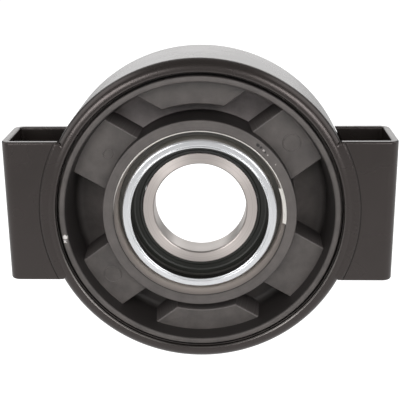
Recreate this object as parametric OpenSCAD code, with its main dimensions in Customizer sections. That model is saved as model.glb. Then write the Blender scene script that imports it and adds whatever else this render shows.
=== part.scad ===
// Driveshaft centre bearing: a sealed ball bearing held by a rubber cushion in a pressed steel
// housing with two welded channel ears. Millimetres, +Z up. The shaft runs along Y, the front
// faces -Y, and the origin is the middle of the bearing's bore.

/* [Bearing] */
// Diameter of the shaft's bore
bore_d = 60; // [54:1:66]
// Outside diameter of the bearing
bearing_od = 105; // [100:1:112]
// Diameter of a ball
ball_d = 12; // [11:0.1:13]
// Number of balls
ball_count = 12; // [8:1:12]
// Share of the rings' radial section that the gap between their lands takes
land_share = 0.36; // [0.3:0.01:0.4]
// Chamfer on the rings' outer edges
ring_chamfer = 0.8; // [0.4:0.1:1.2]

/* [Seals] */
// Thickness of a seal
seal_t = 1; // [0.8:0.1:2]
// Depth of a seal's face below the rings' faces
seal_recess = 0.5; // [0.2:0.1:1.2]

/* [Cage] */
// Sheet thickness of a cage half
cage_sheet = 1; // [0.8:0.1:1.4]
// Radial width of the cage's band
cage_w = 5; // [4:0.1:6]
// Diameter of a rivet's shank
rivet_d = 2; // [1.6:0.1:2.4]
// Diameter of a rivet's head
rivet_head_d = 3.6; // [3:0.1:4]
// Height of a rivet's head
rivet_head_h = 0.8; // [0.5:0.1:1.2]

/* [Dust shields] */
// Width of the flange that a shield rests on the bearing with
shield_flange_w = 3.3; // [2:0.1:5]
// Width of a shield's rolled edge
shield_roll_w = 5.5; // [4:0.1:7]
// Sheet thickness of a shield
shield_sheet = 1.2; // [0.8:0.1:1.5]
// Distance from the bearing's face to a shield's rolled edge
shield_reach = 12.8; // [10:0.2:15]
// Length of the inner wall behind the rolled edge
shield_return = 3; // [1:0.5:5]

/* [Inner sleeve] */
// Wall of the sleeve around the bearing
sleeve_wall = 2.6; // [2:0.1:3.5]
// Distance from the bearing's middle to each end of the sleeve
sleeve_reach = 22.8; // [21:0.2:26]
// Depth of the tapered mouth
mouth_depth = 9; // [5:0.5:11]
// Width of the flat edge left at the mouth
mouth_edge = 0.7; // [0.4:0.1:1.2]

/* [Rubber cushion] */
// Wall of the collar around the sleeve
collar_wall = 6.7; // [5:0.1:8]
// Distance from the bearing's middle to the collar's front face
collar_reach = 22.4; // [20:0.2:25]
// Width of the groove between the collar and the top and bottom pads
collar_groove_w = 7.9; // [5:0.1:10]
// Distance from the bearing's middle to the pads' front face
pad_reach = 12.8; // [8:0.2:16]
// Depth of that groove and of the recesses below the pads
recess_depth = 20; // [14:0.2:24]
// Thickness of the web behind the recesses
web_t = 14; // [8:0.5:18]
// Width of the rim bead
rim_w = 3.5; // [2.5:0.1:5]
// Gap between the rim bead and the housing's lip
rim_gap = 1.3; // [0.8:0.1:2]
// How far the rim bead's front stays behind the housing's front
rim_setback = 0.4; // [0.2:0.1:2]
// Draft of the wall inside the rim, in degrees
rim_draft = 7.5; // [2:0.5:12]
// Turn of the whole pad pattern in the housing, in degrees
pattern_turn = 3.2; // [-5:0.1:5]
// Angle of the side recesses' edges to the horizontal, in degrees
side_edge_angle = 33.6; // [28:0.1:40]
// Distance from the axis to the lines of the side recesses' edges
side_edge_offset = 18.3; // [14:0.1:22]
// Angle of the diagonal slots to the horizontal, in degrees
slot_angle = 33.6; // [28:0.1:40]
// Distance from the axis to the near side of a diagonal slot
slot_offset = 22.1; // [18:0.1:26]
// Width of a diagonal slot
slot_w = 23; // [16:0.1:26]

/* [Housing] */
// Outside diameter of the housing
housing_od = 199.2; // [196:0.2:208]
// Sheet thickness of the housing
housing_wall = 3.5; // [2.5:0.1:4.5]
// Distance from the bearing's middle to the housing's front
housing_front = 24.5; // [23:0.1:28]
// Distance from the bearing's middle to the housing's rear edge
housing_rear = 33.5; // [30:0.5:40]
// Inside radius of the front bend
bend_r = 2.5; // [1:0.1:4]
// Width of the lip that turns in from the bend
lip_w = 3.3; // [2.4:0.1:6]

/* [Ears] */
// How far each ear stands out from the housing
ear_reach = 24; // [18:0.2:36]
// How far the front plates' faces stay behind the housing's front
ear_setback = 0.8; // [0:0.1:2]
// Depth of an ear from its front face to its rear face
ear_depth = 44.6; // [36:0.2:52]
// Height of the ears' top edges above the axis
ear_top = 48; // [40:0.5:54]
// Depth of the ears' bottom edges below the axis
ear_bottom = 44; // [36:0.5:50]
// Thickness of the ears' plate
ear_plate = 4.5; // [3:0.1:6]
// Inside radius of the ears' folds
ear_fold_r = 2; // [1:0.1:4]
// Diameter of the front weld bead
front_bead_d = 5.2; // [4.6:0.1:6]
// Leg of the rear weld
rear_weld_leg = 4; // [3:0.1:5]

/* [Clearances] */
// Gap between a ball and each raceway
ball_clearance = 0.1; // [0.05:0.01:0.2]
// Gap between a ball and its cage pocket
pocket_clearance = 0.15; // [0.1:0.01:0.3]
// Gap between the cage's arches and the seals
cage_clearance = 0.35; // [0.2:0.05:0.6]
// Running gap between a seal's lip and the inner ring's land
seal_clearance = 0.25; // [0.15:0.01:0.4]
// Gap between the ears' cut edges and the housing, which the welds bridge
ear_gap = 0.4; // [0.2:0.1:0.8]

/* [Hidden] */
$fn = 96;
eps = 0.01;
// Raceway radius over ball radius
conformity = 1.04;
bore_r = bore_d / 2;
bearing_r = bearing_od / 2;
ball_r = ball_d / 2;
pitch_r = (bore_r + bearing_r) / 2;
land_gap = land_share * (bearing_r - bore_r);
inner_land_r = pitch_r - land_gap / 2;
outer_land_r = pitch_r + land_gap / 2;
groove_r = ball_r * conformity;
groove_shift = groove_r - ball_r - ball_clearance;
pocket_r = ball_r + pocket_clearance;
// The rings are as wide as the balls, the cage and both seals need
half_w = pocket_r + cage_sheet + cage_clearance + seal_t + seal_recess;
shield_r = bearing_r - shield_flange_w;
shield_lip_r = shield_r - shield_roll_w;
shield_roll_r = shield_roll_w / 2;
sleeve_r = bearing_r + sleeve_wall;
collar_r = sleeve_r + collar_wall;
pad_in_r = collar_r + collar_groove_w;
housing_r = housing_od / 2;
housing_bore_r = housing_r - housing_wall;
bend_out_r = bend_r + housing_wall;
bend_at = housing_r - bend_out_r;
bend_y = bend_out_r - housing_front;
lip_r = bend_at - lip_w;
rim_r = lip_r - rim_gap;
rim_in_r = rim_r - rim_w;
rim_front = housing_front - rim_setback;
recess_floor = recess_depth - pad_reach;
web_rear = recess_floor + web_t;
lip_back = housing_front - housing_wall;
ear_x = housing_r + ear_reach;
ear_front = housing_front - ear_setback;
ear_rear = ear_depth - ear_front;
ear_cut_r = housing_r + ear_gap;
// The front bead's middle lies this far behind the front plate's face
bead_sink = front_bead_d / 3;
weld_top_angle = asin(ear_top / ear_cut_r);
weld_bottom_angle = asin(ear_bottom / ear_cut_r);

function ball_name(i) = str("ball_", i < 10 ? "0" : "", i);

// Turns a half section about the shaft's axis: x is the radius and y runs from front to rear.
module turned() {
    rotate([-90, 0, 0]) rotate_extrude() children();
}

// A rectangle of a half section between two radii and two places along the axis
module band(r0, r1, y0, y1) {
    translate([r0, y0]) square([r1 - r0, y1 - y0]);
}

// A flat outline in X and Z, drawn out along the axis from y0 back to y1
module drawn_out(y0, y1) {
    translate([0, y1, 0]) rotate([90, 0, 0]) linear_extrude(height = y1 - y0) children();
}

// Repeats a piece at each ball, or half a step on
module around(step_share = 0) {
    for (i = [0:ball_count - 1])
        rotate([0, (i + step_share) * 360 / ball_count, 0]) children();
}

// A rod that points away from the shaft's axis, through the cage's band
module radial_rod(r) {
    translate([pitch_r, 0, 0]) rotate([0, 90, 0]) cylinder(r = r, h = 2 * cage_w, center = true);
}

// Pressed shell: a tube with a round front bend and a lip with a round edge
module housing_ring() {
    color("#232121") turned() {
        band(housing_bore_r, housing_r, bend_y, housing_rear);
        intersection() {
            translate([bend_at, bend_y]) difference() {
                circle(r = bend_out_r);
                circle(r = bend_r);
            }
            band(bend_at, housing_r, -housing_front, bend_y);
        }
        band(lip_r + housing_wall / 2, bend_at, -housing_front, -lip_back);
        translate([lip_r + housing_wall / 2, -housing_front + housing_wall / 2])
            circle(d = housing_wall);
    }
}

// Outline of a channel seen from above, with its two outer corners rounded
module channel_outline(inset) {
    corner_r = ear_fold_r + ear_plate - inset;
    x1 = ear_x - inset;
    y0 = inset - ear_front;
    y1 = ear_rear - inset;
    band(0, x1 - corner_r, y0, y1);
    band(x1 - corner_r - eps, x1, y0 + corner_r, y1 - corner_r);
    for (y = [y0 + corner_r, y1 - corner_r])
        translate([x1 - corner_r, y]) circle(r = corner_r);
}

// Channel ear on the +X side: folded plate cut to the housing's curve
module ear() {
    difference() {
        translate([0, 0, -ear_bottom]) linear_extrude(height = ear_top + ear_bottom)
            difference() {
                channel_outline(0);
                channel_outline(ear_plate);
            }
        rotate([90, 0, 0]) cylinder(r = ear_cut_r, h = 4 * housing_r, center = true);
    }
}

module right_ear() {
    color("#2b2928") ear();
}

module left_ear() {
    color("#2b2928") mirror([1, 0, 0]) ear();
}

// Sweeps a weld's section along the ear's cut edge on the +X side
module weld_run() {
    rotate([-90, 0, 0]) rotate([0, 0, -weld_top_angle])
        rotate_extrude(angle = weld_top_angle + weld_bottom_angle) children();
}

// Bead in the groove between the front plate's edge and the housing's bend
module front_weld() {
    weld_run() difference() {
        translate([ear_cut_r, bead_sink - ear_front]) circle(d = front_bead_d);
        translate([bend_at, bend_y]) circle(r = bend_out_r);
        band(lip_r, housing_r, bend_y, 0);
        band(ear_cut_r, housing_r + 2 * front_bead_d, -ear_front, 0);
    }
}

// Fillet between the rear plate's face and the housing
module rear_weld() {
    weld_run() difference() {
        translate([ear_cut_r, ear_rear]) circle(r = rear_weld_leg);
        band(housing_r - 2 * rear_weld_leg, housing_r, 0, ear_rear + 2 * rear_weld_leg);
        band(ear_cut_r, housing_r + 2 * rear_weld_leg, 0, ear_rear);
    }
}

module right_front_weld() {
    color("#211f1e") front_weld();
}

module right_rear_weld() {
    color("#211f1e") rear_weld();
}

module left_front_weld() {
    color("#211f1e") mirror([1, 0, 0]) front_weld();
}

module left_rear_weld() {
    color("#211f1e") mirror([1, 0, 0]) rear_weld();
}

// Half section of the cushion without its pads: collar, web and rim
module cushion_section() {
    bead_y = rim_w / 2 - rim_front;
    foot_r = rim_in_r - (recess_floor - bead_y) * tan(rim_draft);
    band(sleeve_r, collar_r, -collar_reach, web_rear);
    band(sleeve_r, housing_bore_r, recess_floor, web_rear);
    polygon([[foot_r, recess_floor], [rim_in_r, bead_y], [rim_r, bead_y], [rim_r, -lip_back],
             [bend_at, -lip_back], [housing_bore_r, bend_y],
             [housing_bore_r, recess_floor]]);
    translate([rim_r - rim_w / 2, bead_y]) circle(d = rim_w);
}

// Outline of a side recess: a wedge that opens outwards
module side_recess() {
    apex = side_edge_offset / sin(side_edge_angle);
    reach = housing_r - apex;
    polygon([[apex, 0], [housing_r, -reach * tan(side_edge_angle)],
             [housing_r, reach * tan(side_edge_angle)]]);
}

// Outline of a diagonal slot: a straight channel beside the axis
module diagonal_slot() {
    rotate(slot_angle) translate([0, slot_offset]) square([housing_r, slot_w]);
}

// Outline of the groove between the collar and the top pad, which joins the slots beside that pad
module collar_groove() {
    low = (slot_offset + slot_w / 2) / cos(slot_angle);
    rise = housing_r * tan(slot_angle);
    intersection() {
        circle(r = pad_in_r);
        polygon([[0, low], [housing_r, low + rise], [-housing_r, low + rise]]);
    }
}

// Outlines of the side recesses, diagonal slots and grooves, which leave six pads between them
module recess_outlines() {
    for (side = [0, 1]) mirror([side, 0]) {
        side_recess();
        diagonal_slot();
        mirror([0, 1]) diagonal_slot();
    }
    for (end = [0, 1]) mirror([0, end]) collar_groove();
}

// Moulded cushion: the pads run down into the web, out into the rim and in to the collar
module rubber_cushion() {
    pad_foot = recess_floor + web_t / 2;
    color("#4d4847") {
        turned() cushion_section();
        difference() {
            turned() band(collar_r - collar_wall / 2, rim_r - rim_w / 2, -pad_reach, pad_foot);
            rotate([0, -pattern_turn, 0])
                drawn_out(-collar_reach, pad_foot + web_t) recess_outlines();
        }
    }
}

// Steel tube for the bearing, with a tapered mouth at each end
module inner_sleeve() {
    mouth_r = sleeve_r - mouth_edge;
    color("#756a65") turned() difference() {
        band(bearing_r, sleeve_r, -sleeve_reach, sleeve_reach);
        for (end = [-1, 1])
            polygon([[bearing_r, end * (sleeve_reach - mouth_depth)], [mouth_r, end * sleeve_reach],
                     [bearing_r, end * sleeve_reach]]);
    }
}

// Half section of the front shield: flange on the bearing, wall, rolled edge and short inner wall
module shield_section() {
    roll_y = -half_w - shield_reach + shield_roll_r;
    band(shield_r - shield_sheet, bearing_r, -half_w - shield_sheet, -half_w);
    band(shield_r - shield_sheet, shield_r, roll_y, -half_w);
    band(shield_lip_r, shield_lip_r + shield_sheet, roll_y, roll_y + shield_return);
    intersection() {
        translate([shield_r - shield_roll_r, roll_y]) difference() {
            circle(r = shield_roll_r);
            circle(r = shield_roll_r - shield_sheet);
        }
        band(shield_lip_r, shield_r, roll_y - shield_roll_r, roll_y);
    }
}

module front_dust_shield() {
    color("#d9dcdf") turned() shield_section();
}

module rear_dust_shield() {
    color("#d9dcdf") mirror([0, 1, 0]) turned() shield_section();
}

// Half section of a bearing ring, with its four edges chamfered and its raceway cut
module ring_section(r0, r1, groove_at) {
    c = ring_chamfer;
    difference() {
        polygon([[r0 + c, -half_w], [r1 - c, -half_w], [r1, c - half_w], [r1, half_w - c],
                 [r1 - c, half_w], [r0 + c, half_w], [r0, half_w - c], [r0, c - half_w]]);
        translate([groove_at, 0]) circle(r = groove_r);
    }
}

module bearing_outer_ring() {
    color("#b9bcbe") turned() ring_section(outer_land_r, bearing_r, pitch_r - groove_shift);
}

module bearing_inner_ring() {
    color("#b8afab") turned() ring_section(bore_r, inner_land_r, pitch_r + groove_shift);
}

// Front seal: a flat disc held by the outer ring, clear of the inner ring
module seal() {
    turned() band(inner_land_r + seal_clearance, outer_land_r,
                  seal_recess - half_w, seal_recess + seal_t - half_w);
}

module front_seal() {
    color("#2b2c29") seal();
}

module rear_seal() {
    color("#2b2c29") mirror([0, 1, 0]) seal();
}

// Front half of the cage: a pressed band that arches over each ball
module cage_half() {
    difference() {
        union() {
            turned() band(pitch_r - cage_w / 2, pitch_r + cage_w / 2, -cage_sheet, 0);
            intersection() {
                turned() band(pitch_r - cage_w / 2, pitch_r + cage_w / 2, -pitch_r, 0);
                around() radial_rod(pocket_r + cage_sheet);
            }
        }
        around() radial_rod(pocket_r);
        around(0.5) translate([pitch_r, 0, 0]) rotate([90, 0, 0])
            cylinder(d = rivet_d, h = 4 * cage_sheet, center = true);
    }
}

module cage_front() {
    color("#9a9c9d") cage_half();
}

module cage_rear() {
    color("#9a9c9d") mirror([0, 1, 0]) cage_half();
}

// Rivets through both cage halves, midway between the balls
module cage_rivets() {
    color("#8c8e90") around(0.5) translate([pitch_r, 0, 0]) rotate([90, 0, 0]) {
        cylinder(d = rivet_d, h = 2 * cage_sheet, center = true);
        for (end = [0, 1]) mirror([0, 0, end]) translate([0, 0, cage_sheet])
            cylinder(d = rivet_head_d, h = rivet_head_h);
    }
}

module ball(i) {
    color("#c9ccce") rotate([0, (i - 1) * 360 / ball_count, 0])
        translate([pitch_r, 0, 0]) sphere(r = ball_r);
}

housing_ring();
left_ear();
right_ear();
left_front_weld();
left_rear_weld();
right_front_weld();
right_rear_weld();
rubber_cushion();
inner_sleeve();
front_dust_shield();
rear_dust_shield();
bearing_outer_ring();
bearing_inner_ring();
front_seal();
rear_seal();
cage_front();
cage_rear();
cage_rivets();
for (i = [1:ball_count]) ball(i);
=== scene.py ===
import math

import bmesh
import bpy
from mathutils import Matrix, Vector


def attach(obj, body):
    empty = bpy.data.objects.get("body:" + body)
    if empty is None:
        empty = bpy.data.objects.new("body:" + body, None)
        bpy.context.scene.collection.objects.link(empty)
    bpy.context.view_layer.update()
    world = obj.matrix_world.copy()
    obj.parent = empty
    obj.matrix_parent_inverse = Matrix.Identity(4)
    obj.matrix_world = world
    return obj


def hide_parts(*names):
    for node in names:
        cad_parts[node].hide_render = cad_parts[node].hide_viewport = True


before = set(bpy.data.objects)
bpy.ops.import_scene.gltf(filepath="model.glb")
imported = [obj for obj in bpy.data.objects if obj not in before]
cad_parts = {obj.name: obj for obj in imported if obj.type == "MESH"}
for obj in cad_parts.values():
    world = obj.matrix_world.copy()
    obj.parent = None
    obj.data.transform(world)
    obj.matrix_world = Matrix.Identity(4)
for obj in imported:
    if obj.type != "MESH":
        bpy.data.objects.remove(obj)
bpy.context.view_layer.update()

# Housing shell
# A deep-drawn steel ring, 3.5 mm thick, with a round bend and a short lip at its front.
# It is dip-coated in black after the ears are welded on.
MM = 0.001
HOUSING_R = 99.6
HOUSING_BORE_R = 96.1
HOUSING_FRONT = -24.5
HOUSING_REAR = 33.5
HOUSING_BEND = 6.0
HOUSING_EDGE = 0.6
LIP_R = 91.2
LIP_BACK = -21.0
LIP_ROUND = 1.7
BEND_IN = 2.5
SPIN_STEPS = 240
ROUND_STEPS = 8
MERGE = 0.002
SHARP_ANGLE = math.radians(40)


def turned(corners, angle=math.tau, steps=SPIN_STEPS):
    """A mesh spun about the shaft's axis from the corners of its half section.

    A corner is its radius, its place along the axis and the length of each edge that its
    rounding takes, all in mm.
    """
    bm = bmesh.new()
    points = [bm.verts.new((radius * MM, along * MM, 0)) for radius, along, _ in corners]
    bm.faces.new(points)
    for point, (_, _, rounding) in zip(points, corners):
        if rounding:
            bmesh.ops.bevel(bm, geom=[point], affect="VERTICES", offset=rounding * MM,
                            offset_type="ABSOLUTE", segments=ROUND_STEPS, profile=0.5, material=-1)
    bmesh.ops.remove_doubles(bm, verts=bm.verts, dist=MERGE * MM)
    bmesh.ops.delete(bm, geom=bm.faces[:], context="FACES_ONLY")
    bmesh.ops.spin(bm, geom=bm.verts[:] + bm.edges[:], cent=(0, 0, 0), axis=(0, 1, 0),
                   angle=angle, steps=steps, use_merge=angle == math.tau)
    bmesh.ops.recalc_face_normals(bm, faces=bm.faces)
    return bm


def finished(bm, name, material):
    """Turns a bmesh into a smooth-shaded object whose large faces stay flat."""
    mesh = bpy.data.meshes.new(name)
    bm.to_mesh(mesh)
    bm.free()
    mesh.shade_smooth()
    mesh.set_sharp_from_angle(angle=SHARP_ANGLE)
    mesh.materials.append(material)
    piece = bpy.data.objects.new(name, mesh)
    bpy.context.scene.collection.objects.link(piece)
    piece.modifiers.new("flat_faces", "WEIGHTED_NORMAL").keep_sharp = True
    return piece


def linear(hex_colour):
    """An sRGB hex colour as linear red, green, blue and alpha."""
    parts = [int(hex_colour[i:i + 2], 16) / 255 for i in (1, 3, 5)]
    return [p / 12.92 if p <= 0.04045 else ((p + 0.055) / 1.055) ** 2.4 for p in parts] + [1]


def new_material(name):
    """A material with an empty node tree."""
    material = bpy.data.materials.new(name)
    material.use_nodes = True
    material.node_tree.nodes.clear()
    return material


def add_node(owner, kind, inputs=None, **settings):
    """Adds a node with its settings; each input takes a value, or an output socket to link from."""
    node = owner.node_tree.nodes.new(kind)
    for name, value in settings.items():
        setattr(node, name, value)
    for name, value in (inputs or {}).items():
        if isinstance(value, bpy.types.NodeSocket):
            owner.node_tree.links.new(value, node.inputs[name])
        else:
            node.inputs[name].default_value = value
    return node


def from_axis(owner, place):
    """The vector from the shaft's axis to a place, and its length, for patterns that run in rings."""
    flat = add_node(owner, "ShaderNodeVectorMath", {0: place, 1: (1, 0, 1)}, operation="MULTIPLY")
    length = add_node(owner, "ShaderNodeVectorMath", {0: flat.outputs[0]}, operation="LENGTH")
    return flat.outputs[0], length.outputs["Value"]


# The sockets of a colour mix, which share their names with those of its other types
MIX_A, MIX_B, MIX_OUT = 6, 7, 2

# Black dip coat on steel: near-black and a little warm, satin face on and mirror-like at a flat
# angle, with an orange peel of about 1.5 mm and slow clouds in its tint and gloss. The lip's crest
# is rubbed through to bright steel in a broken line, painted brightest on its lower diagonals as a
# highlight. A dark, matt line is painted in the crease where the front welds end on the ears, as its
# shadow. Both lines have a radius, a half width, a share of it at full strength, and that strength.
CLOUD = 40.0
PEEL = 1.5
PEEL_DEPTH = 0.03
CREST_R = 91.9
CREST_HALF = 0.55
WELD_TOE_R = 101.6
WELD_TOE_HALF = 0.5
LINE_DEPTH = 1.5
CREST_FADE = 20.0

black_paint = new_material("satin_black_dip_coat")
place = add_node(black_paint, "ShaderNodeTexCoord").outputs["Object"]
clouds = add_node(black_paint, "ShaderNodeTexNoise", {
    "Vector": place, "Scale": 1 / (CLOUD * MM), "Detail": 3})
peel = add_node(black_paint, "ShaderNodeTexNoise", {
    "Vector": place, "Scale": 1 / (PEEL * MM), "Detail": 1})
_, radius = from_axis(black_paint, place)
parts = add_node(black_paint, "ShaderNodeSeparateXYZ", {"Vector": place})
at_front = add_node(black_paint, "ShaderNodeMath", {
    0: parts.outputs["Y"], 1: (HOUSING_FRONT + LINE_DEPTH) * MM}, operation="LESS_THAN")
lines = []
for line_r, half, core, strength in ((CREST_R, CREST_HALF, 0.4, 1), (WELD_TOE_R, WELD_TOE_HALF, 0.5, 0.9)):
    off_line = add_node(black_paint, "ShaderNodeMath", {0: radius, 1: line_r * MM}, operation="SUBTRACT")
    distance = add_node(black_paint, "ShaderNodeMath", {0: off_line.outputs[0]}, operation="ABSOLUTE")
    line = add_node(black_paint, "ShaderNodeMapRange", {
        "Value": distance.outputs[0], "From Min": half * MM, "From Max": core * half * MM,
        "To Max": strength})
    front_line = add_node(black_paint, "ShaderNodeMath", {0: line.outputs[0], 1: at_front.outputs[0]},
                          operation="MULTIPLY")
    lines.append(front_line.outputs[0])
rub_and_highlight, toe_shadow = lines
# On the lip, x times z is 0 at the top and the sides, and half the radius squared on a diagonal
product = add_node(black_paint, "ShaderNodeMath", {0: parts.outputs["X"], 1: parts.outputs["Z"]},
                   operation="MULTIPLY")
skew = add_node(black_paint, "ShaderNodeMath", {0: product.outputs[0]}, operation="ABSOLUTE")
# The diagonal and lower masks make the crest's line a painted highlight where light catches it
diagonal = add_node(black_paint, "ShaderNodeMapRange", {
    "Value": skew.outputs[0], "From Min": 0.2 * (CREST_R * MM) ** 2, "From Max": 0.48 * (CREST_R * MM) ** 2,
    "To Min": 0.1, "To Max": 0.4})
lower = add_node(black_paint, "ShaderNodeMapRange", {
    "Value": parts.outputs["Z"], "From Min": CREST_FADE * MM, "From Max": -CREST_FADE * MM, "To Min": 0.15})
worn = add_node(black_paint, "ShaderNodeMapRange", {
    "Value": clouds.outputs[0], "From Min": 0.35, "From Max": 0.6, "To Min": 0.4})
for mask in (diagonal, lower, worn):
    worn_off = add_node(black_paint, "ShaderNodeMath", {0: rub_and_highlight, 1: mask.outputs[0]}, operation="MULTIPLY")
    rub_and_highlight = worn_off.outputs[0]
tint = add_node(black_paint, "ShaderNodeMix", {
    0: clouds.outputs[0], MIX_A: linear("#1b1816"), MIX_B: linear("#231f1d")}, data_type="RGBA")
# Painted shadow in the crease along the weld toe
toe_shaded = add_node(black_paint, "ShaderNodeMix", {
    0: toe_shadow, MIX_A: tint.outputs[MIX_OUT], MIX_B: linear("#0b0a09")}, data_type="RGBA")
colour = add_node(black_paint, "ShaderNodeMix", {
    0: rub_and_highlight, MIX_A: toe_shaded.outputs[MIX_OUT], MIX_B: linear("#c2beba")}, data_type="RGBA")
satin = add_node(black_paint, "ShaderNodeMapRange", {
    "Value": clouds.outputs[0], "To Min": 0.22, "To Max": 0.32})
gloss = add_node(black_paint, "ShaderNodeMath", {0: satin.outputs[0], 1: toe_shadow}, operation="MAXIMUM")
relief = add_node(black_paint, "ShaderNodeBump", {
    "Height": peel.outputs[0], "Strength": 0.1, "Distance": PEEL_DEPTH * MM})
coat = add_node(black_paint, "ShaderNodeBsdfPrincipled", {
    "Base Color": colour.outputs[MIX_OUT], "Metallic": rub_and_highlight, "Roughness": gloss.outputs[0],
    "IOR": 1.6, "Specular Tint": linear("#fff2ef"), "Normal": relief.outputs[0]})
add_node(black_paint, "ShaderNodeOutputMaterial", {"Surface": coat.outputs[0]})

shell = turned([
    (HOUSING_R, HOUSING_REAR, HOUSING_EDGE), (HOUSING_R, HOUSING_FRONT, HOUSING_BEND),
    (LIP_R, HOUSING_FRONT, LIP_ROUND), (LIP_R, LIP_BACK, LIP_ROUND),
    (HOUSING_BORE_R, LIP_BACK, BEND_IN), (HOUSING_BORE_R, HOUSING_REAR, HOUSING_EDGE)])
housing_shell = finished(shell, "housing_shell", black_paint)
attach(housing_shell, "housing")
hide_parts("housing_ring")

# Channel ears
# Two C-channels folded from 4.5 mm plate, with their free edges cut to the housing's curve.
# They are welded to the shell at the front and the rear, and painted with it.
EAR_X = 123.6
EAR_FRONT = -23.7
EAR_REAR = 20.9
EAR_TOP = 48.0
EAR_BOTTOM = -44.0
EAR_PLATE = 4.5
EAR_FOLD_R = 6.5
EAR_FOLD_STEPS = 10
EAR_CUT_R = 100.0
EAR_EDGE_ROUND = 1.0
EAR_ROWS = 40


def mirrored(bm):
    """The same mesh on the other side of the shaft, with its faces turned back outwards."""
    bmesh.ops.scale(bm, vec=(-1, 1, 1), verts=bm.verts)
    bmesh.ops.recalc_face_normals(bm, faces=bm.faces)
    return bm


def channel_ear():
    """The folded channel on the +X side: its section, drawn upwards, cut round and given its plate."""
    bm = bmesh.new()
    corners = [bm.verts.new((x * MM, y * MM, EAR_BOTTOM * MM)) for x, y in (
        (EAR_CUT_R, EAR_REAR), (EAR_X, EAR_REAR), (EAR_X, EAR_FRONT), (EAR_CUT_R, EAR_FRONT))]
    bm.faces.new(corners)
    bmesh.ops.bevel(bm, geom=corners[1:3], affect="VERTICES", offset=EAR_FOLD_R * MM,
                    offset_type="ABSOLUTE", segments=EAR_FOLD_STEPS, profile=0.5, material=-1)
    open_side = [e for e in bm.edges if all(v.co.x < (EAR_CUT_R + 1) * MM for v in e.verts)]
    bmesh.ops.delete(bm, geom=bm.faces[:], context="FACES_ONLY")
    bmesh.ops.delete(bm, geom=open_side, context="EDGES")
    drawn = bmesh.ops.extrude_edge_only(bm, edges=bm.edges[:])["geom"]
    bmesh.ops.translate(bm, vec=(0, 0, (EAR_TOP - EAR_BOTTOM) * MM),
                        verts=[v for v in drawn if isinstance(v, bmesh.types.BMVert)])
    upright = [e for e in bm.edges if abs(e.verts[0].co.z - e.verts[1].co.z) > MM]
    bmesh.ops.subdivide_edges(bm, edges=upright, cuts=EAR_ROWS, use_grid_fill=True)
    for vert in bm.verts:
        if vert.co.x < (EAR_CUT_R + 1) * MM:
            vert.co.x = math.sqrt((EAR_CUT_R * MM) ** 2 - vert.co.z ** 2)
    bmesh.ops.recalc_face_normals(bm, faces=bm.faces)
    if sum(f.normal.x * f.calc_area() for f in bm.faces) < 0:
        bmesh.ops.reverse_faces(bm, faces=bm.faces)
    bmesh.ops.solidify(bm, geom=bm.faces[:], thickness=EAR_PLATE * MM)
    bmesh.ops.recalc_face_normals(bm, faces=bm.faces)
    sharp = [e for e in bm.edges if len(e.link_faces) == 2 and e.calc_face_angle() > math.radians(50)]
    bmesh.ops.bevel(bm, geom=sharp, affect="EDGES", offset=EAR_EDGE_ROUND * MM, offset_type="OFFSET",
                    segments=3, profile=0.5, material=-1)
    return bm


for node_name, bm in (("left_ear", mirrored(channel_ear())), ("right_ear", channel_ear())):
    ear = finished(bm, "folded_" + node_name, black_paint)
    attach(ear, "housing")
    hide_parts(node_name)

# Welds
# Arc-welded beads along the ears' cut edges: a flat one flush with the bend at the front, and a
# fillet at the rear that stops short of the ears' tops. A faint ripple shows under the paint.
RIPPLE = 3.2
RIPPLE_DEPTH = 0.06
RIPPLE_BOW = 0.1
BEAD_TAPER = 3.0
BEAD_END_SHARE = 0.2
WELD_STEPS = 140
REAR_WELD_SHORT = 4.0
# The corners of each bead's section as turned() takes them, and the point that its ends taper to
FRONT_BEAD = [(95.2, -24.0, 0), (97.0, -24.25, 0.6), (100.6, -24.3, 0.6), (101.4, -23.5, 0),
              (100.8, -22.6, 0), (97.2, -22.6, 0)]
FRONT_BEAD_CORE = Vector((99.0, -23.2))
REAR_BEAD = [(99.4, EAR_REAR - 1.2, 0), (100.4, EAR_REAR - 0.3, 0), (103.9, EAR_REAR, 0),
             (102.2, EAR_REAR + 1.9, 1.4), (99.6, EAR_REAR + 3.8, 0)]
REAR_BEAD_CORE = Vector((100.6, EAR_REAR + 0.7))


def weld_bead(section, core, top):
    """A bead on the +X side from the ear's bottom to top, rippled, with its ends drawn in to core."""
    start = math.asin(top / EAR_CUT_R)
    arc = start + math.asin(-EAR_BOTTOM / EAR_CUT_R)
    bm = turned(section, angle=arc, steps=WELD_STEPS)
    bmesh.ops.holes_fill(bm, edges=[e for e in bm.edges if e.is_boundary], sides=0)
    for vert in bm.verts:
        radius = math.hypot(vert.co.x, vert.co.z) / MM
        turn = math.atan2(-vert.co.z, vert.co.x)
        from_core = Vector((radius, vert.co.y / MM)) - core
        to_end = min(turn, arc - turn) * EAR_CUT_R
        share = math.sqrt(max(BEAD_END_SHARE ** 2, 1 - (1 - min(to_end / BEAD_TAPER, 1)) ** 2))
        wave = math.cos(math.tau * (turn * EAR_CUT_R / RIPPLE + RIPPLE_BOW * from_core.length_squared))
        radius, along = core + from_core * share * (1 + RIPPLE_DEPTH * wave / from_core.length)
        vert.co = Vector((radius * math.cos(turn), along, -radius * math.sin(turn))) * MM
    bmesh.ops.rotate(bm, verts=bm.verts, cent=(0, 0, 0), matrix=Matrix.Rotation(-start, 3, "Y"))
    bmesh.ops.recalc_face_normals(bm, faces=bm.faces)
    return bm


welds = {"front": (FRONT_BEAD, FRONT_BEAD_CORE, EAR_TOP),
         "rear": (REAR_BEAD, REAR_BEAD_CORE, EAR_TOP - REAR_WELD_SHORT)}
for end, weld in welds.items():
    for side, bm in (("left", mirrored(weld_bead(*weld))), ("right", weld_bead(*weld))):
        bead = finished(bm, f"{side}_{end}_bead", black_paint)
        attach(bead, "housing")
        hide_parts(f"{side}_{end}_weld")

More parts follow.
